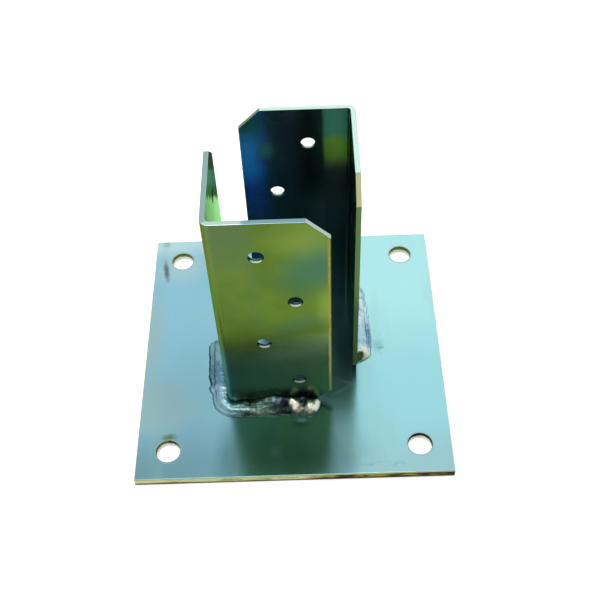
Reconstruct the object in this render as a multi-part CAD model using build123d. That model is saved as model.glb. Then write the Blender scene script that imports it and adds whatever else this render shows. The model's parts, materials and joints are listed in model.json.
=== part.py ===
from build123d import *
import math
import os

# Welded post base: a square base plate with four anchor holes, and two folded sheet
# angles that stand on it corner to corner and hold a timber post between them. Each
# angle is fixed by one weld bead that runs along its two outer faces.
# Frame: origin at the middle of the plate's underside, +X right, +Y back, +Z up.
# Lengths are in millimetres.

# Base plate
plate_width = 200.0
plate_depth = 200.0
plate_thick = 6.0
plate_edge_round = 0.6
anchor_inset = 20.0
anchor_hole_dia = 15.5

# Space left for the post between the inner faces of the angles
post_width = 80.0
post_depth = 86.0

# Folded angles
sheet_thick = 3.0
bend_inner_radius = 2.0
wide_leg = 68.5
side_leg = 69.5
angle_height = 170.0
top_chamfer = 13.0
wide_foot_chamfer = 13.5
side_foot_chamfer = 8.0
sheet_edge_round = 0.4

# Staggered fixing holes in each leg, placed from the angle's outer corner, top and foot
fix_hole_dia = 9.0
fix_rows = 4
fix_top_gap = 26.0
fix_foot_gap = 27.0
fix_near = 28.0
fix_far = 48.0

# Weld beads
bead_plate_toe = 10.0
bead_leg_toe = 6.0
bead_root_depth = 2.0
ripple_pitch = 5.2
ripple_depth = 0.35
ripple_crest = 0.7
front_weld_wide_run = 61.0
front_weld_side_run = 54.0
rear_weld_wide_run = 61.0
rear_weld_side_run = 61.5

# Worked-out sizes
corner_x = post_width / 2 + sheet_thick
corner_y = post_depth / 2 + sheet_thick
bend_outer_radius = bend_inner_radius + sheet_thick
fix_pitch = (angle_height - fix_top_gap - fix_foot_gap) / (fix_rows - 1)
cut_margin = 5.0

# The bead's round section passes through both toes, with its centre under the plate top
bead_centre_out = (
    bead_plate_toe**2 + bead_root_depth**2 - (bead_leg_toe + bead_root_depth) ** 2
) / (2 * bead_plate_toe)
bead_radius = math.hypot(bead_plate_toe - bead_centre_out, bead_root_depth)


def base_plate():
    """Square plate with four anchor holes and its top rim rolled over by the shear."""
    plate = Box(plate_width, plate_depth, plate_thick, align=(Align.CENTER, Align.CENTER, Align.MIN))
    spacing_x = plate_width - 2 * anchor_inset
    spacing_y = plate_depth - 2 * anchor_inset
    for place in GridLocations(spacing_x, spacing_y, 2, 2):
        plate -= place * Cylinder(anchor_hole_dia / 2, 3 * plate_thick)
    top_rim = plate.faces().sort_by(Axis.Z)[-1].outer_wire().edges()
    return fillet(top_rim, plate_edge_round)


def angle_outline():
    """Plan of one angle, its outer corner at the origin and its legs along +X and +Y."""
    outline = Polyline(
        (0, 0),
        (wide_leg, 0),
        (wide_leg, sheet_thick),
        (sheet_thick, sheet_thick),
        (sheet_thick, side_leg),
        (0, side_leg),
        close=True,
    )
    face = make_face(outline)
    corners = face.vertices().sort_by_distance((0, 0))
    face = fillet(corners[0], bend_outer_radius)
    inner = face.vertices().sort_by_distance((sheet_thick, sheet_thick))[0]
    return fillet(inner, bend_inner_radius)


def corner_cut(size, reach, height, lift):
    """Prism, with its axis along Y, that takes a 45 degree corner off a leg's free end.

    lift is +1 for the top corner and -1 for the foot.
    """
    points = [
        (reach - size, height),
        (reach + cut_margin, height - lift * (size + cut_margin)),
        (reach + cut_margin, height + lift * cut_margin),
        (reach - size, height + lift * cut_margin),
    ]
    profile = Plane.XZ * make_face(Polyline(*points, close=True))
    return extrude(profile, sheet_thick + cut_margin, both=True)


def hole_cut(reach, height):
    """Drill along Y for one fixing hole."""
    drill = Cylinder(fix_hole_dia / 2, 4 * sheet_thick)
    return Pos(reach, sheet_thick / 2, height) * Rot(90, 0, 0) * drill


def leg_cuts(leg_length, foot_chamfer, first_column, second_column):
    """Everything cut from a leg that runs along +X from the outer corner."""
    cuts = [
        corner_cut(top_chamfer, leg_length, angle_height, 1),
        corner_cut(foot_chamfer, leg_length, 0, -1),
    ]
    for row in range(fix_rows):
        column = first_column if row % 2 == 0 else second_column
        cuts.append(hole_cut(column, angle_height - fix_top_gap - row * fix_pitch))
    return cuts


def swap_legs(shape):
    """Mirror a leg that runs along +X into one that runs along +Y."""
    return mirror(Rot(0, 0, 90) * shape, about=Plane.YZ)


def outer_face_edges(angle):
    """The rolled-over outline of the two outer faces, without the bend, the foot and the holes."""
    rims = ShapeList()
    for face in angle.faces().filter_by(GeomType.PLANE):
        middle = face.center()
        if min(abs(middle.X), abs(middle.Y)) < sheet_thick / 4:
            rims += [edge for edge in face.outer_wire().edges() if is_free_edge(edge)]
    return rims


def is_free_edge(edge):
    """True for an edge that is neither at the bend nor at the foot."""
    middle = edge.center()
    reach = math.hypot(middle.X, middle.Y)
    return reach > bend_outer_radius + sheet_thick / 4 and middle.Z > sheet_thick / 4


def folded_angle():
    """One folded angle, its outer corner at the origin and standing on Z = 0."""
    angle = extrude(angle_outline(), angle_height)
    for cut in leg_cuts(wide_leg, wide_foot_chamfer, fix_near, fix_far):
        angle -= cut
    for cut in leg_cuts(side_leg, side_foot_chamfer, fix_far, fix_near):
        angle -= swap_legs(cut)
    return fillet(outer_face_edges(angle), sheet_edge_round)


def bead_run(start, length):
    """Rippled round bar along +X from start, with a domed end, cut to the plate and the leg.

    Each ripple swells slowly along the bead and falls off again at its leading edge.
    """
    ripples = max(2, round((length - bead_radius) / ripple_pitch))
    straight = length - bead_radius
    pitch = straight / ripples
    outline = [(start, 0)]
    for i in range(ripples):
        outline.append((start + i * pitch, bead_radius - ripple_depth))
        outline.append((start + (i + ripple_crest) * pitch, bead_radius))
    dome_start = start + straight
    outline.append((dome_start, bead_radius - ripple_depth))
    outline.append((dome_start, bead_radius))
    edges = Polyline(*outline)
    edges += RadiusArc((dome_start, bead_radius), (dome_start + bead_radius, 0), bead_radius)
    edges += Line((dome_start + bead_radius, 0), (start, 0))
    bar = revolve(make_face(edges), Axis.X)
    bar = Pos(0, -bead_centre_out, -bead_root_depth) * bar
    span = 2 * (wide_leg + side_leg)
    under_plate = Box(span, span, span, align=(Align.CENTER, Align.CENTER, Align.MAX))
    behind_leg = Box(span, span, span, align=(Align.CENTER, Align.MIN, Align.CENTER))
    return bar - under_plate - behind_leg


def bead_corner():
    """Bead around the bend: its section turned a quarter about the bend's centre."""
    crown = bead_radius / math.sqrt(2)
    mid = (bead_centre_out + crown, crown - bead_root_depth)
    toes = Polyline((0, bead_leg_toe), (0, 0), (bead_plate_toe, 0))
    section = make_face(toes + ThreePointArc((bead_plate_toe, 0), mid, (0, bead_leg_toe)))
    centre = bend_outer_radius
    upright = Plane(origin=(centre, 0, 0), x_dir=(0, -1, 0), z_dir=(-1, 0, 0))
    axis = Axis((centre, centre, 0), (0, 0, 1))
    return revolve(upright * section, axis, -90)


def weld_bead(wide_run, side_run):
    """Bead around one angle's outer faces, in the angle's own frame."""
    wide = bead_run(bend_outer_radius, wide_run - bend_outer_radius)
    side = swap_legs(bead_run(bend_outer_radius, side_run - bend_outer_radius))
    return bead_corner() + wide + side


def stand_on_plate(shape, quarter_turns):
    """Place a shape from the angle's frame at its corner of the post space."""
    placed = Pos(-corner_x, -corner_y, plate_thick) * shape
    return Rot(0, 0, 90 * quarter_turns) * placed


angle = folded_angle()
nodes = {
    "base_plate": base_plate(),
    "front_angle": stand_on_plate(angle, 0),
    "rear_angle": stand_on_plate(angle, 2),
    "front_weld": stand_on_plate(weld_bead(front_weld_wide_run, front_weld_side_run), 0),
    "rear_weld": stand_on_plate(weld_bead(rear_weld_wide_run, rear_weld_side_run), 2),
}

os.makedirs("parts", exist_ok=True)
for name, shape in nodes.items():
    export_step(shape, f"parts/{name}.step")
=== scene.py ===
import json
import math

import bmesh
import bpy
from mathutils import Matrix, Vector, noise


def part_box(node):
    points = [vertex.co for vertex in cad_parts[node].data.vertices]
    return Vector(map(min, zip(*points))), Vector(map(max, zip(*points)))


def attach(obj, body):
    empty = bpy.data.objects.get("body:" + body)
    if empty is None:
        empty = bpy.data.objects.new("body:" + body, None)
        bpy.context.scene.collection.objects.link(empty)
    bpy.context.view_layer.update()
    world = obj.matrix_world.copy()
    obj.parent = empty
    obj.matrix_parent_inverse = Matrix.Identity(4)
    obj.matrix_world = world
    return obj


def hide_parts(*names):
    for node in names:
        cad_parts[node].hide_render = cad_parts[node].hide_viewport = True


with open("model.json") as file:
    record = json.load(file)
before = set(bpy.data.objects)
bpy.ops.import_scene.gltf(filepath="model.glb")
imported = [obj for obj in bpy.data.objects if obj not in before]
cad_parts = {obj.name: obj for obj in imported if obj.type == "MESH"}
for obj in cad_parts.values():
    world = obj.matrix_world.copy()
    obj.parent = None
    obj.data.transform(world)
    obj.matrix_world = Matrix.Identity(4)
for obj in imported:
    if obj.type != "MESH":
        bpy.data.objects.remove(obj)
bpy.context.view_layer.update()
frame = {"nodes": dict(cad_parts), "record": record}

MM = 0.001
NODES = frame["nodes"]
ANCHORS = next(m for m in frame["record"]["mounts"] if m["name"] == "anchor_holes")["dims"]

# Sizes read from the frame, in millimetres
PLATE_TOP = (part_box("base_plate")[1] / MM).z
FRONT_LOW, FRONT_HIGH = (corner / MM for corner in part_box("front_angle"))
REAR_LOW, REAR_HIGH = (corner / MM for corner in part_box("rear_angle"))
ANGLE_HEIGHT = FRONT_HIGH.z - PLATE_TOP
WIDE_LEG = FRONT_HIGH.x - FRONT_LOW.x
SIDE_LEG = FRONT_HIGH.y - FRONT_LOW.y

# Sizes of the folded sheet that the frame's boxes don't give, in millimetres
SHEET = 3.0
BEND_RADIUS = 5.0
TOP_CHAMFER = 13.0

# Depth of the surface grain, in millimetres
GRAIN_DEPTH = 0.02
WELD_GRAIN_DEPTH = 0.03

# Colours of the zinc finish, as linear light
CYAN_LIGHT = (0.44, 0.82, 0.84)
CYAN_MID = (0.33, 0.69, 0.74)
CYAN_BLUE = (0.27, 0.54, 0.67)
BLUE_DEEP = (0.15, 0.31, 0.36)
BLUE_GREY = (0.22, 0.37, 0.42)
CYAN_GREY = (0.32, 0.57, 0.62)
GREY_GREEN = (0.34, 0.49, 0.46)
GREY_DULL = (0.30, 0.44, 0.43)
GREY_DARK = (0.17, 0.235, 0.16)
MINT = (0.66, 0.90, 0.83)
MINT_GREY = (0.50, 0.66, 0.62)
LILAC_PALE = (0.42, 0.50, 0.50)
OLIVE = (0.083, 0.137, 0.023)
OLIVE_GREY = (0.088, 0.138, 0.060)
OLIVE_LIGHT = (0.107, 0.174, 0.027)
OLIVE_SUN = (0.20, 0.29, 0.055)
OLIVE_LOW = (0.150, 0.262, 0.170)
OLIVE_FOOT = (0.270, 0.430, 0.215)
OLIVE_RIM = (0.110, 0.138, 0.032)
RIM_GOLD = (0.36, 0.35, 0.055)
OLIVE_FLASH = (0.075, 0.185, 0.024)
TEAL = (0.047, 0.134, 0.090)
TEAL_FLASH = (0.032, 0.135, 0.092)
TEAL_DARK = (0.05, 0.16, 0.17)
GREEN_DARK = (0.06, 0.16, 0.07)
GREEN_SPOT = (0.066, 0.185, 0.105)
TEAL_SPOT = (0.08, 0.27, 0.20)
BLUE_BEND = (0.085, 0.22, 0.24)
GREEN_BRIGHT = (0.54, 1.0, 0.29)
GREEN_SHADE = (0.07, 0.29, 0.07)
GREEN_TIP = (0.11, 0.38, 0.21)
TIP_BROWN = (0.065, 0.105, 0.05)
GREEN_EDGE = (0.078, 0.148, 0.052)
GREEN_EDGE_LIGHT = (0.14, 0.25, 0.085)
NAVY = (0.065, 0.095, 0.105)
NIGHT = (0.032, 0.047, 0.049)
NIGHT_GREEN = (0.010, 0.028, 0.022)
BLUE = (0.11, 0.44, 0.98)
BLUE_DARK = (0.06, 0.13, 0.48)
OCHRE = (0.27, 0.25, 0.05)
RUST = (0.25, 0.10, 0.03)
BROWN = (0.040, 0.034, 0.018)
BROWN_DARK = (0.032, 0.016, 0.013)
WALL_OLIVE = (0.13, 0.19, 0.04)
BRASS = (0.46, 0.44, 0.18)
CREAM = (0.46, 0.49, 0.26)
CREAM_LIGHT = (0.58, 0.62, 0.34)
SOOT = (0.025, 0.045, 0.045)
WALL_PAINTED_LIGHT = (0.82, 0.96, 0.84)
WALL_PAINTED_SHADE = (0.012, 0.03, 0.035)
WALL_PAINTED_FLOOR_LIGHT = (0.80, 0.82, 0.74)
GRAZING_FRONT = (0.28, 0.66, 0.25)
GRAZING_REAR = (0.38, 0.48, 0.40)
GRAZING_WELD = (0.30, 0.38, 0.40)

# Colours of the weld metal
WELD_MIST = (0.40, 0.62, 0.74)
WELD_LILAC = (0.25, 0.39, 0.50)
WELD_HAZE = (0.19, 0.36, 0.41)
WELD_SLATE = (0.10, 0.22, 0.30)
WELD_PALE_HIGHLIGHT = (0.62, 0.78, 0.88)
WELD_MOSS = (0.075, 0.13, 0.115)
WELD_DEEP = (0.030, 0.055, 0.048)
WELD_BLACK = (0.012, 0.022, 0.020)
WELD_TOE_HIGHLIGHT = (0.30, 0.42, 0.30)
WELD_CREAM_HIGHLIGHT = (1.0, 1.0, 0.80)
WELD_OLIVE = (0.06, 0.10, 0.03)
WELD_GOLD_HIGHLIGHT = (0.66, 0.60, 0.38)


class Graph:
    """A short way to write a material's nodes. Values are numbers, colours or sockets."""

    def __init__(self, name):
        self.material = bpy.data.materials.new(name)
        self.material.use_nodes = True
        self.tree = self.material.node_tree
        self.shader = self.tree.nodes["Principled BSDF"]
        place = self.tree.nodes.new("ShaderNodeTexCoord")
        to_mm = self.node("ShaderNodeVectorMath", "SCALE")
        self.tree.links.new(place.outputs["Object"], to_mm.inputs[0])
        to_mm.inputs["Scale"].default_value = 1 / MM
        self.place = to_mm.outputs[0]
        split = self.tree.nodes.new("ShaderNodeSeparateXYZ")
        self.tree.links.new(self.place, split.inputs[0])
        self.x, self.y, self.z = split.outputs

    def node(self, kind, operation=None):
        made = self.tree.nodes.new(kind)
        if operation is not None:
            made.operation = operation
        return made

    def put(self, socket, value):
        if isinstance(value, bpy.types.NodeSocket):
            self.tree.links.new(value, socket)
        elif isinstance(value, tuple) and len(value) == 3 and socket.type == "RGBA":
            socket.default_value = (*value, 1.0)
        else:
            socket.default_value = value

    def math(self, operation, *values):
        made = self.node("ShaderNodeMath", operation)
        for socket, value in zip(made.inputs, values):
            self.put(socket, value)
        return made.outputs[0]

    def add(self, a, b):
        return self.math("ADD", a, b)

    def sub(self, a, b):
        return self.math("SUBTRACT", a, b)

    def mul(self, a, b):
        return self.math("MULTIPLY", a, b)

    def least(self, a, b):
        return self.math("MINIMUM", a, b)

    def most(self, a, b):
        return self.math("MAXIMUM", a, b)

    def absolute(self, a):
        return self.math("ABSOLUTE", a)

    def length(self, a, b):
        return self.math("SQRT", self.add(self.mul(a, a), self.mul(b, b)))

    def upward(self):
        """How far the surface faces up: 1 on a top, 0 on a wall."""
        facing = self.tree.nodes.new("ShaderNodeNewGeometry")
        parts = self.tree.nodes.new("ShaderNodeSeparateXYZ")
        self.tree.links.new(facing.outputs["Normal"], parts.inputs[0])
        return parts.outputs["Z"]

    def step(self, value, low, high):
        """0 at low, 1 at high, smooth between; low may be above high."""
        made = self.tree.nodes.new("ShaderNodeMapRange")
        made.interpolation_type = "SMOOTHSTEP"
        flip = low > high
        self.put(made.inputs["Value"], value)
        made.inputs["From Min"].default_value = min(low, high)
        made.inputs["From Max"].default_value = max(low, high)
        made.inputs["To Min"].default_value = 1.0 if flip else 0.0
        made.inputs["To Max"].default_value = 0.0 if flip else 1.0
        return made.outputs["Result"]

    def band(self, value, low, high, soft):
        """1 between low and high, with soft shoulders."""
        rise = self.step(value, low - soft, low + soft)
        fall = self.step(value, high + soft, high - soft)
        return self.mul(rise, fall)

    def mix(self, share, a, b):
        """Colour a where share is 0 and b where it is 1."""
        made = self.tree.nodes.new("ShaderNodeMix")
        made.data_type = "RGBA"
        self.put(made.inputs[0], share)
        self.put(made.inputs[6], a)
        self.put(made.inputs[7], b)
        return made.outputs[2]

    def number_mix(self, share, a, b):
        """Number a where share is 0 and b where it is 1."""
        made = self.tree.nodes.new("ShaderNodeMix")
        self.put(made.inputs[0], share)
        self.put(made.inputs[2], a)
        self.put(made.inputs[3], b)
        return made.outputs[0]

    def noise(self, size, detail=3.0, stretch=(1, 1, 1), seed=0.0):
        """Cloudy value about 0.5, with features about size millimetres across."""
        mapping = self.tree.nodes.new("ShaderNodeMapping")
        self.tree.links.new(self.place, mapping.inputs["Vector"])
        mapping.inputs["Scale"].default_value = [s / size for s in stretch]
        mapping.inputs["Location"].default_value = (seed, seed * 1.7, seed * 2.3)
        made = self.tree.nodes.new("ShaderNodeTexNoise")
        self.tree.links.new(mapping.outputs[0], made.inputs["Vector"])
        made.inputs["Scale"].default_value = 1.0
        made.inputs["Detail"].default_value = detail
        return made.outputs["Fac"]

    def drift(self, size, amount, seed):
        """Slow wander about zero, up to about amount either way."""
        return self.mul(self.sub(self.noise(size, 3.0, seed=seed), 0.5), 2 * amount)

    def wander(self, value, size, amount, seed):
        """The value with a slow wander added to it."""
        return self.add(value, self.drift(size, amount, seed))

    def patch(self, under, u, v, colour, middle, reach, amount, soft, seed, ragged=0.25):
        """Lays a soft, ragged oval of colour over what is under it."""
        across = self.mul(self.sub(u, middle[0]), 1 / reach[0])
        along = self.mul(self.sub(v, middle[1]), 1 / reach[1])
        distance = self.length(across, along)
        rag = self.drift(max(reach) * 0.6, ragged, seed)
        share = self.step(self.add(distance, rag), 1 + soft / 2, 1 - soft)
        return self.mix(self.mul(share, amount), under, colour)

    def patches(self, under, u, v, rows):
        """Lays patches one over the other. A row holds what patch() takes, from colour on."""
        for row in rows:
            under = self.patch(under, u, v, *row)
        return under

    def bump(self, height, distance):
        made = self.tree.nodes.new("ShaderNodeBump")
        made.inputs["Strength"].default_value = 1.0
        made.inputs["Distance"].default_value = distance * MM
        self.put(made.inputs["Height"], height)
        self.put(self.shader.inputs["Normal"], made.outputs[0])

    def finish(self, colour, roughness, metal):
        self.put(self.shader.inputs["Base Color"], colour)
        self.put(self.shader.inputs["Roughness"], roughness)
        self.put(self.shader.inputs["Metallic"], metal)
        return self.material


def zinc_grain(g):
    """Fine grain of plated rolled steel, over a cloudier one."""
    fine = g.noise(0.9, 3.0)
    cloudy = g.noise(9.0, 2.0, seed=4.0)
    g.bump(g.add(g.mul(fine, 0.5), cloudy), GRAIN_DEPTH)


# Patches on the plate's top, in millimetres from its middle. A row is colour, middle,
# reach, amount, softness and seed, and raggedness where it isn't the usual one. The first five
# rows are the zinc's own tone; the dark rows after them are painted reflections of the legs.
PLATE_TONES_AND_PAINTED_REFLECTIONS = (
    (GREY_GREEN, (-90, -46), (28, 22), 0.65, 0.5, 2.0),
    (GREY_GREEN, (-102, 8), (14, 44), 0.75, 0.8, 5.0),
    (MINT, (-88, 97), (50, 12), 0.5, 0.8, 6.0),
    (MINT_GREY, (-82, 76), (20, 18), 0.45, 0.9, 44.0),
    (BLUE_DEEP, (-66, -42), (44, 62), 0.42, 1.0, 45.0),
    # Painted reflection: these dark teal and deep blue patches stand for the legs and their dark
    # inner faces mirrored in the plate, in front of the front leg and between the two angles.
    (TEAL_DARK, (-40, -86), (9, 26), 0.5, 1.0, 46.0),
    (TEAL_DARK, (27, -84), (12, 25), 0.4, 1.0, 15.0),
    (TEAL_DARK, (36, -12), (8, 27), 0.6, 1.0, 47.0),
    (TEAL_DARK, (4, -26), (13, 11), 0.8, 0.8, 48.0),
    (TEAL_DARK, (2, 36), (13, 9), 0.8, 0.8, 49.0),
    (TEAL_DARK, (0, -82), (40, 38), 0.65, 1.0, 16.0),
    (BLUE_DEEP, (22, -93), (16, 10), 0.5, 1.0, 53.0),
)
LEANING_SMUDGE = (SOOT, (-80.9, 71), (2.2, 9.5), 0.8, 0.9, 7.0, 0.5)
SMUDGE_LEAN = 0.15
PLATE_MARKS = (
    (SOOT, (-93, 98), (3.0, 4), 0.3, 0.9, 18.0, 0.6),
    (OLIVE_RIM, (-80, -70), (5, 3), 0.8, 0.9, 20.0, 0.5),
    (TEAL_DARK, (58.6, -1), (3.4, 6.5), 0.3, 1.2, 19.0, 1.3),
    (TEAL_DARK, (60.0, -4.0), (2.4, 1.4), 0.4, 1.0, 40.0, 0.9),
)

# Scratches on the plate: middle point, slope and half length along X, in millimetres
SCRATCHES = (
    ((33.0, -36.9), 0.68, 6.5),
    ((35.5, -31.3), -0.45, 4.0),
)
SCRATCH_AMOUNT = 0.22


def plate_top_colour(g):
    """Cyan zinc, blue on the left and pale at the back right; its darkening toward the front is
    painted reflection of the dim room behind the camera.
    """
    x, y = g.x, g.y
    wander = g.drift(60.0, 26.0, 1.0)
    across = g.step(g.add(x, wander), -70.0, 50.0)
    back = g.mix(across, CYAN_BLUE, CYAN_LIGHT)
    middle = g.mix(across, CYAN_BLUE, CYAN_MID)
    front = g.mix(across, BLUE_DEEP, CYAN_GREY)
    # Painted reflection: from back to front the colour darkens, standing for the dim room behind
    # the camera mirrored in the plate.
    colour = g.mix(g.step(g.add(y, wander), 50.0, -40.0), back, middle)
    colour = g.mix(g.step(g.add(y, g.mul(wander, 0.5)), -45.0, -100.0), colour, front)
    colour = g.patches(colour, x, y, PLATE_TONES_AND_PAINTED_REFLECTIONS)
    streaks = g.noise(12.0, 4.0, stretch=(1, 0.15, 1), seed=17.0)
    return g.mix(g.mul(g.step(streaks, 0.5, 0.8), 0.22), colour, GREY_GREEN)


def plate_marks(g, colour):
    """Smudges by the back left hole, an olive smear, soot by the rear weld and a faint scuff."""
    x, y = g.x, g.y
    lean = g.add(x, g.mul(y, SMUDGE_LEAN))
    colour = g.patch(colour, lean, y, *LEANING_SMUDGE)
    colour = g.patches(colour, x, y, PLATE_MARKS)
    scuff = g.step(g.noise(5.0, 4.0, stretch=(1, 4, 1), seed=39.0), 0.46, 0.62)
    scuff = g.mul(scuff, g.mul(g.band(x, 42, 70, 6), g.band(y, -95.5, -92, 1.2)))
    return g.mix(g.mul(scuff, 0.16), colour, SOOT)


def scratches(g):
    """Mask of the fine scratches on the plate."""
    lines = 0.0
    for middle, slope, reach in SCRATCHES:
        to_middle = g.sub(g.x, middle[0])
        off = g.sub(g.sub(g.y, middle[1]), g.mul(to_middle, slope))
        near = g.band(to_middle, -reach, reach, 1.5)
        lines = g.most(g.mul(g.step(g.absolute(off), 0.45, 0.1), near), lines)
    return g.mul(lines, SCRATCH_AMOUNT)


def plate_edge_colour(g):
    """Sheared edge: a brassy rim over cream and ochre, with brown low down and on the right."""
    streak = g.noise(14.0, 4.0, stretch=(1, 1, 3), seed=8.0)
    left = g.mix(g.step(streak, 0.34, 0.54), OCHRE, CREAM_LIGHT)
    right = g.mix(g.step(streak, 0.42, 0.58), BROWN, OCHRE)
    body = g.mix(g.step(g.wander(g.x, 18.0, 14.0, 29.0), 0.0, 22.0), left, right)
    body = g.mix(g.mul(g.step(g.z, 2.6, 1.0), 0.85), body, BROWN)
    return g.mix(g.step(g.z, PLATE_TOP - 1.3, PLATE_TOP - 0.5), body, BRASS)


def anchor_wall_colour(g):
    """Hole walls: olive at the back, browner at the front, with painted light from the floor on
    their lower part.
    """
    wall = g.mix(g.step(g.noise(7.0, 2.0, seed=9.0), 0.42, 0.58), BROWN, WALL_OLIVE)
    wall = g.mix(g.step(g.x, -10.0, 10.0), wall, BROWN_DARK)
    wall = g.mix(g.step(g.y, -10.0, 10.0), wall, WALL_OLIVE)
    # Painted light: the lower part of each wall turns pale, as if lit by the floor.
    return g.mix(g.step(g.wander(g.z, 5.0, 1.0, 41.0), 3.6, 2.2), wall, WALL_PAINTED_FLOOR_LIGHT)


def plate_material():
    g = Graph("zinc_on_plate")
    colour = plate_marks(g, plate_top_colour(g))
    side = g.step(g.z, PLATE_TOP - 0.06, PLATE_TOP - 0.22)
    colour = g.mix(side, colour, plate_edge_colour(g))
    to_x = g.sub(g.absolute(g.x), ANCHORS["spacing_x_mm"] / 2)
    to_y = g.sub(g.absolute(g.y), ANCHORS["spacing_y_mm"] / 2)
    from_hole = g.length(to_x, to_y)
    hole = ANCHORS["hole_r_mm"]
    in_hole = g.step(from_hole, hole + 0.25, hole + 0.05)
    hole_rim = g.step(from_hole, hole + 1.6, hole + 0.4)
    colour = g.mix(g.mul(hole_rim, 0.5), colour, GREY_DULL)
    colour = g.mix(in_hole, colour, anchor_wall_colour(g))
    scratch = scratches(g)
    colour = g.mix(scratch, colour, MINT)
    zinc_grain(g)
    dull = g.most(in_hole, side)
    shiny = g.add(0.15, g.mul(g.noise(30.0, 4.0, seed=3.0), 0.09))
    metal = g.sub(g.number_mix(dull, 1.0, 0.1), scratch)
    g.shader.inputs["Specular IOR Level"].default_value = 0.0
    return g.finish(colour, g.number_mix(dull, shiny, 0.5), metal)


# Patches on a leg's outer face, by the distance from the bend side and the height above the
# plate, in millimetres. The rows read as the plate's do. Leaning clouds climb along the leg:
# their heights are taken at the bend side.
LEANING_CLOUDS = (
    (TEAL, (60, 108), (22, 22), 0.85, 1.0, 13.0),
    (TEAL, (52, 62), (22, 9), 0.4, 1.0, 30.0),
)
CLOUD_LEAN = 0.45
SUNNY_PATCHES = (
    (OLIVE_LIGHT, (60, 100), (14, 9), 0.7, 0.9, 14.0),
    (OLIVE_SUN, (68, 100), (8, 17), 0.85, 1.0, 50.0),
    (OLIVE_SUN, (54, 157), (24, 14), 0.4, 1.0, 54.0),
)
SOOT_PATCHES = (
    (SOOT, (50, 8), (17, 9), 0.95, 0.9, 42.0, 0.4),
    (SOOT, (50, 19), (14, 12), 0.28, 1.0, 52.0, 0.4),
)
REAR_SPOTS = (
    (GREEN_SPOT, (64, 160), (12, 13), 0.95, 0.9, 23.0),
    (TEAL_SPOT, (54, 139), (6, 6.5), 0.9, 0.9, 24.0),
)


def leg_outer_colour(g, along, height):
    """Outer face of a leg: cloudy olive above, grey-green low down, sooty at the foot, with a
    painted reflection by the bend.
    """
    cloud = g.noise(34.0, 3.0, seed=12.0)
    colour = g.mix(g.step(cloud, 0.35, 0.65), OLIVE, OLIVE_LIGHT)
    # Painted reflection: near the bend the face takes grey-green, most strongly high up, where the
    # leg mirrors a different part of the room.
    bend_painted_reflection = g.step(g.wander(along, 9.0, 0.4, 10.0), 24.4, 22.6)
    upper = g.step(height, 118.0, 160.0)
    colour = g.mix(g.mul(bend_painted_reflection, g.number_mix(upper, 0.12, 0.75)), colour, OLIVE_GREY)
    lean = g.sub(height, g.mul(along, CLOUD_LEAN))
    colour = g.patches(colour, along, lean, LEANING_CLOUDS)
    colour = g.patches(colour, along, height, SUNNY_PATCHES)
    # Painted reflection: a dark streak marks the edge of that mirrored patch.
    reflection_edge_streak = g.mul(g.band(along, 24.2, 26.6, 0.9), g.band(height, 60.0, 172.0, 8.0))
    colour = g.mix(g.mul(reflection_edge_streak, 0.22), colour, GREEN_DARK)
    streaks = g.noise(5.0, 4.0, stretch=(1, 1, 0.03), seed=11.0)
    colour = g.mix(g.mul(g.step(streaks, 0.52, 0.72), 0.35), colour, OLIVE_GREY)

    # The low zone's upper limit rises along the leg
    slant = g.sub(height, g.mul(g.sub(along, 25.0), 0.28))
    low = g.step(g.wander(slant, 20.0, 6.0, 35.0), 72.0, 44.0)
    colour = g.mix(low, colour, g.mix(g.step(along, 62.0, 8.0), OLIVE_FOOT, OLIVE_LOW))

    # Round the bend: sunny above, blue at the foot and rusty at the top
    sunny = g.mul(g.step(along, 6.0, 2.0), g.mul(g.step(height, 50.0, 70.0), 0.3))
    colour = g.mix(sunny, colour, OLIVE_SUN)
    blue = g.mul(g.step(along, 7.0, 3.5), g.step(height, 78.0, 30.0))
    colour = g.mix(g.mul(blue, 0.85), colour, BLUE_BEND)
    rusty = g.mul(g.step(along, 3.4, 1.4), g.step(height, 120.0, 150.0))
    colour = g.mix(g.mul(rusty, 0.4), colour, RUST)

    colour = g.patches(colour, along, height, SOOT_PATCHES)
    by_weld = g.step(g.wander(height, 6.0, 2.5, 43.0), 7.5, 3.0)
    return g.mix(g.mul(by_weld, 0.65), colour, SOOT)


def rear_inner_colour(g, u, height):
    """Inner face of the back leg: a dark navy ground of painted shade, darkest low down and in the
    corner by the bend, with blue, green and olive flashes.
    """
    edge = g.wander(u, 14.0, 3.0, 21.0)
    # Painted shade: the navy ground stands for the face lying in the shade between the legs.
    colour = g.mix(g.step(edge, 48.0, 62.0), NAVY, BLUE_DARK)
    bright = g.mul(g.step(edge, 52.0, 66.0), g.band(height, 118.0, 158.0, 12.0))
    colour = g.mix(bright, colour, BLUE)
    # Painted shade: darker low down.
    colour = g.mix(g.mul(g.step(height, 112.0, 78.0), 0.75), colour, NAVY)
    colour = g.patches(colour, u, height, REAR_SPOTS)
    # Painted shade: dark green-black near the bend, high up.
    painted_shade_by_bend = g.mul(g.step(u, 40.0, 26.0), g.step(height, 90.0, 120.0))
    colour = g.mix(painted_shade_by_bend, colour, NIGHT_GREEN)
    # Painted shade: near black in the inner corner by the bend.
    corner = g.step(g.wander(u, 10.0, 0.8, 22.0), 20.0, 17.4)
    colour = g.mix(g.mul(corner, 0.6), colour, NIGHT)
    olive = g.step(g.wander(height, 9.0, 4.0, 36.0), 152.0, 145.0)
    high = g.step(g.wander(height, 12.0, 5.0, 37.0), 122.0, 136.0)
    return g.mix(g.mul(corner, high), colour, g.mix(olive, TEAL_FLASH, OLIVE_FLASH))


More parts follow.
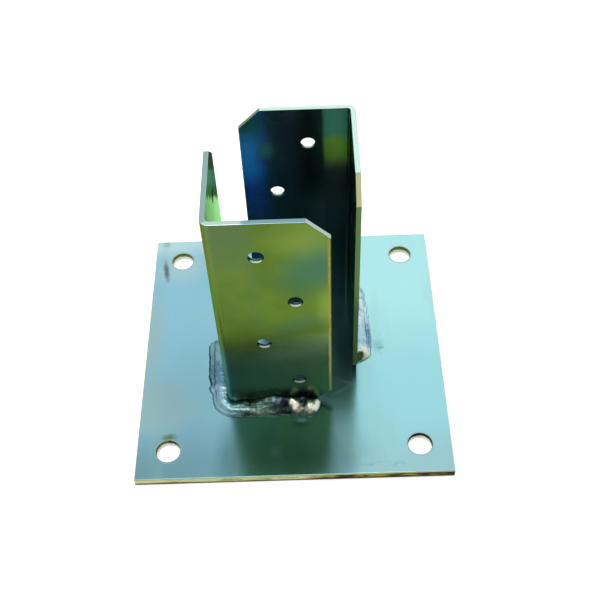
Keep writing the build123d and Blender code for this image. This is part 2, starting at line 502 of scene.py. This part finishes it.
def front_inner_colour(g, v, height):
    """Bright green inner face of the left leg, and the mask of the stain below its tip."""
    rag = g.mul(g.sub(g.noise(4.0, 4.0, stretch=(1, 1, 0.25), seed=25.0), 0.5), 12.0)
    reach = g.add(v, height)
    ragged = g.add(reach, rag)
    colour = g.mix(g.step(height, 110.0, 60.0), GREEN_BRIGHT, OLIVE_LIGHT)
    stain = g.step(ragged, 189.0, 193.0)
    colour = g.mix(stain, colour, GREEN_SHADE)
    colour = g.mix(g.band(ragged, 200.0, 212.0, 2.5), colour, GREEN_TIP)
    return g.mix(g.step(reach, 211.0, 216.0), colour, TIP_BROWN), stain


def angle_material(name, low, high, turned):
    """Zinc on one folded angle. turned is True for the rear one, which stands half a turn round."""
    g = Graph(name)
    corner_x, corner_y = (high.x, high.y) if turned else (low.x, low.y)
    facing = -1.0 if turned else 1.0
    u = g.mul(g.sub(g.x, corner_x), facing)
    v = g.mul(g.sub(g.y, corner_y), facing)
    height = g.sub(g.z, PLATE_TOP)
    along = g.most(u, v)
    depth = g.least(u, v)
    on_side = g.step(g.sub(v, u), -1.0, 1.0)
    inside = g.step(depth, SHEET - 0.5, SHEET - 0.1)
    outside = g.sub(1.0, inside)
    if turned:
        wide_inner = rear_inner_colour(g, u, height)
        # Painted shade: the side leg's inner face is near black all over.
        side_inner = NIGHT
        wide_top = side_top = MINT
        wide_slope, side_slope = GREY_DARK, CREAM
        wide_end = OLIVE
        side_end = g.mix(g.step(height, 62.0, 92.0), GREEN_EDGE, GREEN_EDGE_LIGHT)
    else:
        wide_inner = CYAN_MID
        side_inner, stain = front_inner_colour(g, v, height)
        wide_top = g.mix(g.step(u, 20.0, 24.0), MINT_GREY, BLUE_GREY)
        side_top = GREY_DULL
        wide_slope, side_slope = LILAC_PALE, GREY_DULL
        wide_end, side_end = OLIVE, OLIVE_GREY
    colour = leg_outer_colour(g, along, height)
    colour = g.mix(inside, colour, g.mix(on_side, wide_inner, side_inner))

    # Golden strip with rusty specks along the leg's free edge: partly edge wear, partly a painted
    # highlight of the rounded edge.
    gold_edge_wear_and_highlight = g.mul(g.step(along, WIDE_LEG - 2.2, WIDE_LEG - 1.0), outside)
    worn = g.step(g.noise(5.0, 3.0, seed=51.0), 0.4, 0.6)
    gold_edge_wear_and_highlight = g.mul(gold_edge_wear_and_highlight, g.number_mix(worn, 0.55, 0.95))
    speckle = g.step(g.noise(1.6, 3.0, seed=38.0), 0.46, 0.60)
    specks = g.mul(speckle, g.step(along, WIDE_LEG - 1.2, WIDE_LEG - 0.3))
    colour = g.mix(gold_edge_wear_and_highlight, colour, g.mix(specks, RIM_GOLD, RUST))

    # Cut faces: holes, ends, tops and the slopes at the top corners
    upward = g.upward()
    in_sheet = g.mul(g.step(depth, 0.1, 0.3), g.step(depth, SHEET - 0.1, SHEET - 0.3))
    cut = g.mul(in_sheet, g.step(along, BEND_RADIUS + 1, BEND_RADIUS + 2))
    # Painted light and shade on the hole walls: walls facing up near the outer face of the wide leg
    # get painted light, all other cut faces here painted shade.
    lit = g.mul(g.step(depth, 2.2, 0.7), g.step(height, -60.0, 90.0))
    lit = g.mul(g.mul(g.step(upward, 0.55, 0.9), lit), g.sub(1.0, on_side))
    colour = g.mix(cut, colour, g.mix(lit, WALL_PAINTED_SHADE, WALL_PAINTED_LIGHT))
    at_wide_end = g.step(u, WIDE_LEG - 0.5, WIDE_LEG - 0.3)
    at_side_end = g.step(v, SIDE_LEG - 0.5, SIDE_LEG - 0.3)
    at_end = g.most(at_wide_end, at_side_end)
    colour = g.mix(at_end, colour, g.mix(on_side, wide_end, side_end))
    top = g.step(height, ANGLE_HEIGHT - 0.25, ANGLE_HEIGHT - 0.05)
    colour = g.mix(top, colour, g.mix(on_side, wide_top, side_top))
    slope = g.mul(g.step(upward, 0.5, 0.6), g.step(upward, 0.9, 0.8))
    slope_foot = ANGLE_HEIGHT - TOP_CHAMFER
    slope = g.mul(slope, g.step(height, slope_foot - 3.0, slope_foot - 1.0))
    colour = g.mix(slope, colour, g.mix(on_side, wide_slope, side_slope))

    zinc_grain(g)
    dull = g.most(g.most(g.mul(cut, g.sub(1.0, top)), at_end), g.mul(gold_edge_wear_and_highlight, 0.9))
    if not turned:
        dull = g.most(dull, g.mul(g.mul(inside, on_side), stain))
        round_bend = g.mul(g.step(along, 3.6, 1.6), outside)
        dull = g.most(dull, g.mul(round_bend, 0.6))
    tint = GRAZING_REAR if turned else GRAZING_FRONT
    g.shader.inputs["Specular Tint"].default_value = (*tint, 1.0)
    g.shader.inputs["Specular IOR Level"].default_value = 0.0
    shiny = g.add(0.16, g.mul(g.noise(26.0, 4.0, seed=27.0), 0.14))
    return g.finish(colour, g.number_mix(dull, shiny, 0.6), g.number_mix(dull, 1.0, 0.05))


def dress(node, material):
    """Puts one material on a node that keeps its own mesh."""
    slots = NODES[node].data.materials
    slots.clear()
    slots.append(material)


# Weld beads, in millimetres. A bead is drawn along the path s round the angle's outer faces,
# from the side leg's end to the wide leg's end. Across it, t runs from the toe on the plate
# to the toe on the leg.
WELD_LAYER = "finish"
STATION_STEP = 0.45
SECTION_POINTS = 32
BEAD_BULGE = 1.7
RIPPLE_PITCH = 2.7
RIPPLE_HEIGHT = 0.08
RIPPLE_LAG = 3.2
RIPPLE_DRIFT = 0.8
ROUGH_HEIGHT = 0.18
ROUGH_FALL = 0.9
ROUGH_FINER = 2.0
FACE_WIDTH = 11.0
TOE_DRIFT = 0.8
RISE_DRIFT = 0.6
END_ROUND = 7.0
END_TRIM = 0.02
SEAT = 0.05


def bump_at(value, middle, reach):
    """Smooth bump of height one."""
    return math.exp(-(((value - middle) / reach) ** 2))


def along_points(points, s):
    """Value at s on a smooth line through (s, value) points."""
    if s <= points[0][0]:
        return points[0][1]
    for (s0, a), (s1, b) in zip(points, points[1:]):
        if s <= s1:
            share = (s - s0) / (s1 - s0)
            share = share * share * (3 - 2 * share)
            return a + (b - a) * share
    return points[-1][1]


def along_colours(stops, s):
    """Colour at s between (s, colour) stops."""
    channels = zip(*(colour for _, colour in stops))
    places = [place for place, _ in stops]
    return tuple(along_points(list(zip(places, channel)), s) for channel in channels)


def blend(a, b, share):
    """Colour between a and b; a share outside 0 to 1 is held at the nearer one."""
    share = min(1.0, max(0.0, share))
    return tuple(p + (q - p) * share for p, q in zip(a, b))


class Bead:
    """One weld bead round an angle's outer faces, drawn as rings of points along its path.

    runs are its lengths on the side leg and the wide leg. toes and rises give how far it
    reach out on the plate and up the leg. lumps are (s, reach, t, reach, height), and
    stains are (s, reach, t, reach, colour, amount). Cream, gold and pale toe stains are painted
    highlights, and dark stains laid in modelled dips are painted shade. fleck is how pale its
    flecks of painted highlight are.
    """

    def __init__(self, node, corner, facing, runs, toes, rises, lumps, ground, stains, fleck, seed):
        self.node = node
        self.corner, self.facing = corner, facing
        self.side_length = runs[0] - BEND_RADIUS
        self.arc_length = math.pi / 2 * BEND_RADIUS
        self.total = self.side_length + self.arc_length + runs[1] - BEND_RADIUS
        self.toes, self.rises, self.lumps = toes, rises, lumps
        self.ground, self.stains, self.fleck = ground, stains, fleck
        self.seed = seed

    def root(self, s):
        """Root point on the angle's outer face and the outward direction there."""
        if s < self.side_length:
            return (0.0, BEND_RADIUS + self.side_length - s), (-1.0, 0.0)
        s -= self.side_length
        if s < self.arc_length:
            turn = math.pi + s / BEND_RADIUS
            out = (math.cos(turn), math.sin(turn))
            return (BEND_RADIUS * (1 + out[0]), BEND_RADIUS * (1 + out[1])), out
        return (BEND_RADIUS + s - self.arc_length, 0.0), (0.0, -1.0)

    def rough(self, s, t, size, octaves=3, offset=0.0):
        """Seeded wander about zero; size is its grain in millimetres."""
        point = Vector((s / size, t * FACE_WIDTH / size + offset, self.seed))
        return noise.fractal(point, ROUGH_FALL, ROUGH_FINER, octaves)

    def end_scale(self, s):
        """Shrinks the section to nothing over a rounded stretch at each end."""
        gap = min(s, self.total - s)
        if gap >= END_ROUND:
            return 1.0
        return math.sqrt(max(0.0, 1 - (1 - gap / END_ROUND) ** 2))

    def section(self, s):
        """Distances out and up, and t, of the face's points from the plate toe to the leg toe."""
        scale = self.end_scale(s)
        toe = along_points(self.toes, s) + TOE_DRIFT * self.rough(s, 0, 5.0, offset=7.0)
        rise = along_points(self.rises, s) + RISE_DRIFT * self.rough(s, 0, 6.0, offset=40.0)
        wide, tall = toe * scale, rise * scale
        length = math.hypot(wide, tall) or 1.0
        for k in range(SECTION_POINTS + 1):
            t = k / SECTION_POINTS
            push = scale * self.push(s, t)
            out = wide * (1 - t) + push * tall / length
            up = tall * t + push * wide / length
            yield max(out, -SEAT), max(up, -SEAT), t

    def push(self, s, t):
        """How far the face swells beyond the straight line from toe to toe."""
        arch = 4 * t * (1 - t)
        shoulder = min(1.0, 3 * arch)
        phase = (s + RIPPLE_LAG * arch + RIPPLE_DRIFT * self.rough(s, t, 8.0, 2)) / RIPPLE_PITCH
        push = BEAD_BULGE * arch
        push += RIPPLE_HEIGHT * (phase % 1.0) ** 2 * shoulder
        push += ROUGH_HEIGHT * self.rough(s, t, 4.0, 4, offset=80.0) * shoulder
        for place, reach, across, span, height in self.lumps:
            push += height * bump_at(s, place, reach) * bump_at(t, across, span) * shoulder
        return push

    def colour(self, s, t):
        """Colour of the face: its ground, the stains on it, pale flecks of painted highlight and a
        dark leg toe.
        """
        shade = along_colours(self.ground, s)
        shade = blend(shade, WELD_BLACK, 0.55 * self.rough(s, t, 4.0, 3, offset=120.0))
        for place, reach, across, span, colour, amount in self.stains:
            near = bump_at(s, place, reach) * bump_at(t, across, span)
            near *= max(0.0, 1 + 1.2 * self.rough(s, t, 2.8, 3, offset=160.0))
            shade = blend(shade, colour, amount * near)
        # Painted highlight: pale flecks.
        strokes = self.rough(s / 2.6, t, 1.5, 3, offset=200.0)
        shade = blend(shade, WELD_PALE_HIGHLIGHT, self.fleck * 3.0 * (strokes - 0.28))
        return blend(shade, WELD_BLACK, 0.8 * bump_at(t, 1.0, 0.05))

    def place(self, root, direction, out, up):
        """Point of the scene, in metres, at a distance out from the root and up the leg."""
        u, v = (start + way * out for start, way in zip(root, direction))
        x = self.corner[0] + self.facing * u
        y = self.corner[1] + self.facing * v
        return Vector((x, y, PLATE_TOP + up)) * MM

    def build(self, material):
        points, colours, faces = [], [], []
        stations = math.ceil(self.total / STATION_STEP)
        ring = SECTION_POINTS + 2
        for i in range(stations + 1):
            s = min(max(self.total * i / stations, END_TRIM), self.total - END_TRIM)
            root, direction = self.root(s)
            for out, up, t in self.section(s):
                points.append(self.place(root, direction, out, up))
                colours.append(self.colour(s, t))
            points.append(self.place(root, direction, -SEAT, -SEAT))
            colours.append(WELD_BLACK)
        for i in range(stations):
            for k in range(ring):
                a, b = i * ring + k, i * ring + (k + 1) % ring
                faces.append((a, b, b + ring, a + ring))
        faces.append(tuple(range(ring - 1, -1, -1)))
        faces.append(tuple(range(stations * ring, (stations + 1) * ring)))
        piece = solid_piece(self.node + "_bead", points, faces, colours, material)
        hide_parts(self.node)


def solid_piece(name, points, faces, colours, material):
    """A closed, smooth weld piece with its colours on its points, carried by the part's body."""
    mesh = bpy.data.meshes.new(name)
    mesh.from_pydata(points, [], faces)
    layer = mesh.color_attributes.new(WELD_LAYER, "FLOAT_COLOR", "POINT")
    for k, colour in enumerate(colours):
        layer.data[k].color = (*colour, 1.0)
    shape = bmesh.new()
    shape.from_mesh(mesh)
    bmesh.ops.recalc_face_normals(shape, faces=shape.faces)
    shape.to_mesh(mesh)
    shape.free()
    mesh.shade_smooth()
    mesh.materials.append(material)
    piece = bpy.data.objects.new(name, mesh)
    bpy.context.collection.objects.link(piece)
    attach(piece, "root")
    return piece


def weld_material():
    """Plated weld metal, coloured by the mesh's own colour layer. Its palest stains are painted
    highlights, made non-metal so they stay bright.
    """
    g = Graph("weld_metal")
    layer = g.tree.nodes.new("ShaderNodeVertexColor")
    layer.layer_name = WELD_LAYER
    channels = g.tree.nodes.new("ShaderNodeSeparateColor")
    g.put(channels.inputs[0], layer.outputs["Color"])
    g.bump(g.noise(1.1, 4.0, seed=33.0), WELD_GRAIN_DEPTH)
    roughness = g.add(0.25, g.mul(g.noise(3.0, 3.0, seed=32.0), 0.2))
    metal = g.step(channels.outputs["Red"], 0.95, 0.7)
    g.shader.inputs["Specular Tint"].default_value = (*GRAZING_WELD, 1.0)
    return g.finish(layer.outputs["Color"], roughness, metal)


def add_welds():
    material = weld_material()
    front = Bead(
        "front_weld", (FRONT_LOW.x, FRONT_LOW.y), 1.0, (54.0, 61.0),
        toes=[
            (0, 13.0), (8, 14.3), (26, 13.6), (40, 12.6),
            (50, 10.2), (62, 10.6), (92, 10.2), (108, 11.2),
        ],
        rises=[(0, 5.0), (45, 5.0), (56, 3.4), (68, 4.8), (83, 8.6), (92, 6.6), (108, 6.2)],
        lumps=[
            (22, 24, 0.11, 0.06, 0.6), (22, 26, 0.27, 0.07, -1.0), (26, 28, 0.62, 0.22, 0.5),
            (70, 12, 0.60, 0.10, -0.5), (77, 12, 0.25, 0.12, 0.3), (91, 5.5, 0.50, 0.25, -1.4),
            (96, 2.6, 0.50, 0.35, 1.0), (101.5, 1.5, 0.70, 0.25, -1.5),
            (107.5, 4.5, 0.45, 0.45, 1.5),
        ],
        ground=[
            (0, WELD_HAZE), (20, WELD_HAZE), (27, WELD_SLATE), (38, WELD_SLATE), (45, WELD_LILAC),
            (50, WELD_HAZE), (56, WELD_HAZE), (62, WELD_MOSS), (66, WELD_DEEP), (72, WELD_MOSS),
            (78, WELD_MOSS), (85, WELD_DEEP), (92, WELD_BLACK), (98, WELD_MOSS), (106, WELD_MOSS),
        ],
        stains=[
            # Painted shade: the slate stain at s 22 lies in the modelled groove.
            (22, 24, 0.08, 0.05, WELD_BLACK, 1.0), (22, 22, 0.26, 0.05, WELD_SLATE, 0.7),
            # Painted highlight: the pale toe stains.
            (32, 14, 0.95, 0.09, WELD_DEEP, 0.6), (75, 7, 0.25, 0.08, WELD_TOE_HIGHLIGHT, 1.2),
            (62, 5, 0.42, 0.06, WELD_TOE_HIGHLIGHT, 0.9), (66, 4, 0.72, 0.16, WELD_BLACK, 0.8),
            (82, 26, 0.03, 0.04, WELD_TOE_HIGHLIGHT, 1.0), (64, 4, 0.45, 0.10, WELD_LILAC, 0.6),
            # Painted shade: the black stains at s 91 and 102 lie in the modelled craters.
            (85, 3, 0.75, 0.12, WELD_LILAC, 0.5), (91, 3, 0.45, 0.25, WELD_BLACK, 1.2),
            # Painted highlights: the cream and gold stains on the lumps near the end.
            (94.6, 1.5, 0.72, 0.13, WELD_CREAM_HIGHLIGHT, 2.0), (96.6, 1.7, 0.50, 0.15, WELD_CREAM_HIGHLIGHT, 2.6),
            (98.6, 1.5, 0.32, 0.12, WELD_GOLD_HIGHLIGHT, 1.8), (102, 2.4, 0.75, 0.25, WELD_BLACK, 2.0),
            (106, 3.0, 1.0, 0.16, WELD_BLACK, 1.5), (108.5, 3.2, 0.42, 0.20, WELD_CREAM_HIGHLIGHT, 2.6),
            (111.0, 1.6, 0.66, 0.14, WELD_CREAM_HIGHLIGHT, 1.6), (106.0, 1.8, 0.28, 0.10, WELD_GOLD_HIGHLIGHT, 1.0),
        ],
        fleck=0.12, seed=3.0,
    )
    rear = Bead(
        "rear_weld", (REAR_HIGH.x, REAR_HIGH.y), -1.0, (61.5, 61.0),
        toes=[(0, 10.2), (20, 11.2), (44, 10.2), (56, 8.6), (75, 9.6), (108, 10.6)],
        rises=[(0, 6.0), (60, 5.6), (110, 6.0)],
        lumps=[
            (28, 16, 0.28, 0.08, -1.0), (25, 22, 0.10, 0.06, 0.5), (44, 7, 0.78, 0.15, -0.7),
            (6.5, 2.4, 0.50, 0.4, 0.6), (51, 4, 0.5, 0.3, 0.7),
        ],
        ground=[
            # Painted highlight: the pale stretch of the rear bead's ground.
            (0, WELD_MIST), (22, WELD_MIST), (34, WELD_PALE_HIGHLIGHT), (56, WELD_PALE_HIGHLIGHT), (90, WELD_HAZE),
        ],
        stains=[
            # Painted shade: the slate stains at s 22 and 44.5 lie in the modelled dips.
            (22, 13, 0.20, 0.07, WELD_SLATE, 1.2), (44.5, 5, 0.82, 0.16, WELD_SLATE, 1.3),
            # Painted highlights: the cream and gold stains at the end.
            (24, 5, 0.35, 0.10, WELD_HAZE, 0.8), (6.5, 2.4, 0.45, 0.35, WELD_CREAM_HIGHLIGHT, 1.2),
            (3.0, 2.6, 0.30, 0.28, WELD_GOLD_HIGHLIGHT, 1.0), (2.0, 2.8, 0.72, 0.30, WELD_OLIVE, 1.7),
        ],
        fleck=0.15, seed=17.0,
    )
    for bead in (front, rear):
        bead.build(material)


# Camera, fitted to the photograph's view. Its place is in millimetres, its angles in degrees.
CAMERA_PLACE = (14.79, -381.83, 529.98)
CAMERA_AZIMUTH = 0.87
CAMERA_ELEVATION = 52.07
CAMERA_ROLL = -2.51
CAMERA_LENS = 57.51
CAMERA_SENSOR = 36.0
CAMERA_SHIFT = (-0.0148, 0.0325)

# Studio, in metres. The room is white but for a dim patch of sky behind the camera.
WHITE = (1.0, 1.0, 1.0, 1.0)
FLOOR_COLOUR = (0.97, 0.97, 0.97, 1.0)
FLOOR_WIDTH = 8.0
FLOOR_GLOW = 0.3
DIM_SIDE = (0.1, -0.75, 0.55)
DIM_EDGE = 0.55
DIM_MIDDLE = 0.95
DIM_STRENGTH = 0.25
KEY_PLACE = (-0.15, -0.1, 1.2)
KEY_POWER = 5.5
KEY_WIDTH = 0.7


def add_camera():
    angles = (CAMERA_AZIMUTH, CAMERA_ELEVATION, CAMERA_ROLL)
    azimuth, elevation, roll = (math.radians(angle) for angle in angles)
    back = Vector((
        math.sin(azimuth) * math.cos(elevation),
        -math.cos(azimuth) * math.cos(elevation),
        math.sin(elevation),
    ))
    level = Vector((math.cos(azimuth), math.sin(azimuth), 0))
    upright = back.cross(level)
    right = math.cos(roll) * level + math.sin(roll) * upright
    up = math.cos(roll) * upright - math.sin(roll) * level
    data = bpy.data.cameras.new("photo_camera")
    data.lens = CAMERA_LENS
    data.sensor_width = CAMERA_SENSOR
    data.shift_x, data.shift_y = CAMERA_SHIFT
    camera = bpy.data.objects.new("photo_camera", data)
    turn = Matrix((right, up, back)).transposed().to_4x4()
    camera.matrix_world = Matrix.Translation(Vector(CAMERA_PLACE) * MM) @ turn
    bpy.context.collection.objects.link(camera)
    bpy.context.scene.camera = camera


def floor_material():
    material = bpy.data.materials.new("studio_floor")
    material.use_nodes = True
    shader = material.node_tree.nodes["Principled BSDF"]
    shader.inputs["Base Color"].default_value = FLOOR_COLOUR
    shader.inputs["Roughness"].default_value = 0.9
    shader.inputs["Specular IOR Level"].default_value = 0.0
    shader.inputs["Emission Color"].default_value = WHITE
    shader.inputs["Emission Strength"].default_value = FLOOR_GLOW
    return material


def add_floor():
    bpy.ops.mesh.primitive_plane_add(size=FLOOR_WIDTH, location=(0, 0, 0))
    floor = bpy.context.object
    floor.name = "floor"
    floor.data.materials.append(floor_material())


def add_room():
    """White light from all round, falling off in a soft round patch behind the camera."""
    world = bpy.data.worlds.new("soft_room")
    bpy.context.scene.world = world
    world.use_nodes = True
    tree = world.node_tree
    background = tree.nodes["Background"]
    place = tree.nodes.new("ShaderNodeTexCoord")
    dim_side = tree.nodes.new("ShaderNodeVectorMath")
    dim_side.operation = "DOT_PRODUCT"
    tree.links.new(place.outputs["Generated"], dim_side.inputs[0])
    dim_side.inputs[1].default_value = Vector(DIM_SIDE).normalized()
    ramp = tree.nodes.new("ShaderNodeMapRange")
    ramp.interpolation_type = "SMOOTHSTEP"
    tree.links.new(dim_side.outputs["Value"], ramp.inputs["Value"])
    ramp.inputs["From Min"].default_value = DIM_EDGE
    ramp.inputs["From Max"].default_value = DIM_MIDDLE
    ramp.inputs["To Min"].default_value = 1.0
    ramp.inputs["To Max"].default_value = DIM_STRENGTH
    tree.links.new(ramp.outputs["Result"], background.inputs["Strength"])
    background.inputs["Color"].default_value = WHITE


def add_key():
    """One soft lamp above the part, aimed at the middle of its base."""
    data = bpy.data.lights.new("key", "AREA")
    data.energy = KEY_POWER
    data.size = KEY_WIDTH
    key = bpy.data.objects.new("key", data)
    key.location = KEY_PLACE
    key.rotation_euler = (-key.location).to_track_quat("-Z", "Y").to_euler()
    bpy.context.collection.objects.link(key)


bpy.context.scene.view_settings.view_transform = "Standard"
add_camera()
add_floor()
add_room()
add_key()
dress("base_plate", plate_material())
dress("front_angle", angle_material("zinc_on_front_angle", FRONT_LOW, FRONT_HIGH, False))
dress("rear_angle", angle_material("zinc_on_rear_angle", REAR_LOW, REAR_HIGH, True))
add_welds()
